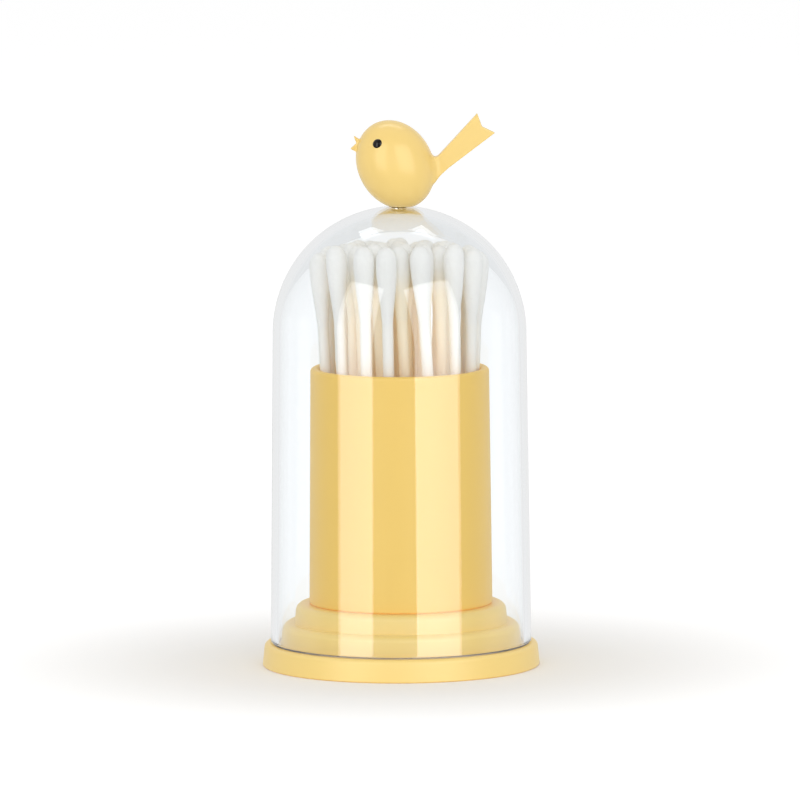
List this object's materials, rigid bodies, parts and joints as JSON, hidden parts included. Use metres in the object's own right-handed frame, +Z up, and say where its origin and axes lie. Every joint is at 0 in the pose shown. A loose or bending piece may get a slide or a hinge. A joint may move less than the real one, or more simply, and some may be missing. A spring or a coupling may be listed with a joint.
{
  "type": "cotton swab dispenser",
  "caption": "Cup of cotton swabs on a round stepped plinth, under a clear dome that lifts off by a small bird finial.",
  "frame": {"origin": "centre of the plinth's underside, on the dome's axis", "axes": "+Z up along the dome's axis; the bird faces -X and its tail points to +X; -Y is the front"},
  "size_m": [0.06, 0.06, 0.1197],
  "materials": {
    "yellow_plastic": "warm yellow, glossy moulded plastic",
    "bird_plastic": "warm yellow, satin gloss moulded plastic",
    "clear_plastic": "clear polished plastic",
    "black_bead": "polished black",
    "cotton": "wound white cotton on a smooth white paper stick"
  },
  "bodies": {
    "base": {"plinth": "yellow_plastic", "cup": "yellow_plastic", "swab_01": "cotton", "swab_02": "cotton", "swab_03": "cotton", "swab_04": "cotton", "swab_05": "cotton", "swab_06": "cotton", "swab_07": "cotton", "swab_08": "cotton", "swab_09": "cotton", "swab_10": "cotton", "swab_11": "cotton", "swab_12": "cotton", "swab_13": "cotton", "swab_14": "cotton", "swab_15": "cotton", "swab_16": "cotton", "swab_17": "cotton", "swab_18": "cotton", "swab_19": "cotton", "swab_20": "cotton", "swab_21": "cotton", "swab_22": "cotton", "swab_23": "cotton", "swab_24": "cotton", "swab_25": "cotton", "swab_26": "cotton", "swab_27": "cotton", "swab_28": "cotton", "swab_29": "cotton", "swab_30": "cotton", "swab_31": "cotton", "swab_32": "cotton", "swab_33": "cotton", "swab_34": "cotton"},
    "dome": {"dome": "clear_plastic", "bird": "bird_plastic", "eye_left": "black_bead", "eye_right": "black_bead"}
  },
  "joints": [
    {"name": "dome_lift", "type": "slide", "parent": "base", "child": "dome", "axis": [0, 0, 1], "range_m": [0, 0.1]}
  ]
}
